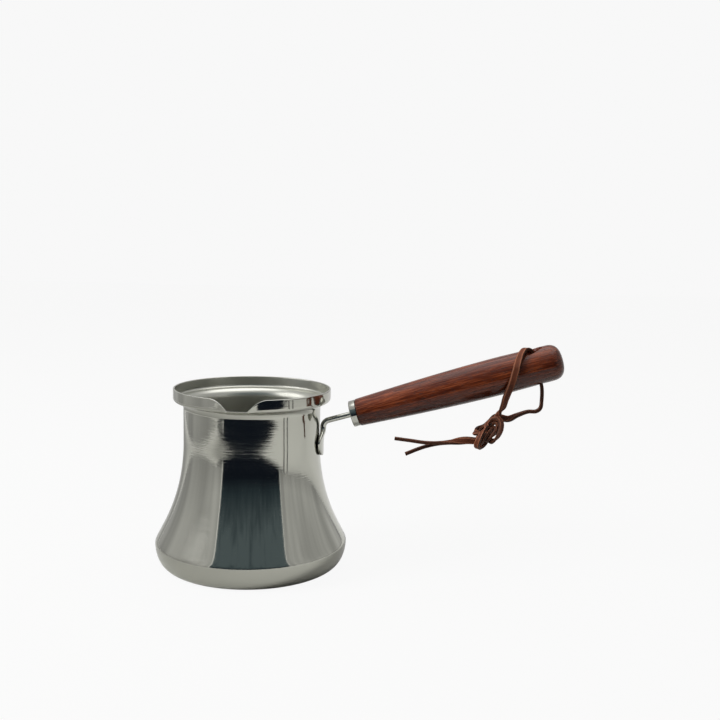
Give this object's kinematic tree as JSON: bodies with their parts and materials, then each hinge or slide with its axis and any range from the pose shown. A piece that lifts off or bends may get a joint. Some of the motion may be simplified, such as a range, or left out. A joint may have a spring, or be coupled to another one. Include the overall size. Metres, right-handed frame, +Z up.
{
  "type": "stovetop coffee pot",
  "caption": "Open bell-shaped steel coffee pot with a stepped collar and pouring lip, a bent bracket, a turned wooden handle and a knotted leather lace.",
  "frame": {"origin": "middle of the flat base, on the surface that the pot stands on", "axes": "+X along the handle, -Y towards the pouring lip, +Z up"},
  "size_m": [0.2218, 0.106, 0.1266],
  "materials": {
    "polished_steel": "spun and polished, with fine lines round the axis",
    "oiled_wood": "turned, sanded and oiled reddish hardwood",
    "lace_leather": "matt brown, with cut edges"
  },
  "bodies": {
    "pot": {"pot_body": "polished_steel", "handle_bracket": "polished_steel", "ferrule": "polished_steel", "wood_handle": "oiled_wood"},
    "lace": {"lace_upper": "lace_leather", "lace_lower": "lace_leather"}
  },
  "joints": [
    {"name": "lace_swing", "type": "hinge", "parent": "pot", "child": "lace", "pos_m": [0.15439, 0, 0.11487], "axis": [-0.284, 0, 0.9588], "range_deg": [0, 90]}
  ]
}
